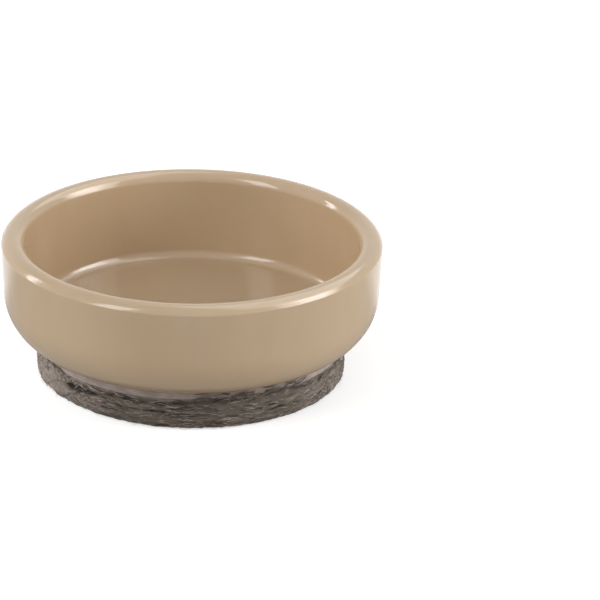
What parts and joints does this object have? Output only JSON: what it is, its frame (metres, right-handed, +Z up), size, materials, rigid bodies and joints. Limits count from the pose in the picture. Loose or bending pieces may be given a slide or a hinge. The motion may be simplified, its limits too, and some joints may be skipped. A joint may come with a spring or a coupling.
{
  "type": "caster cup",
  "caption": "Round moulded cup with an open top and a felt pad bonded under it, which holds a furniture leg or wheel off the floor.",
  "frame": {"origin": "centre of the felt pad's underside, on the floor", "axes": "+Z up along the cup's axis, out of its open top; +X and +Y are any two directions across it"},
  "size_m": [0.05, 0.05, 0.019],
  "materials": {
    "cup_plastic": "glossy moulded beige plastic",
    "adhesive": "smooth grey adhesive foam",
    "felt": "mottled grey wool felt"
  },
  "bodies": {
    "root": {"cup": "cup_plastic", "adhesive_disc": "adhesive", "felt_pad": "felt"}
  },
  "joints": []
}
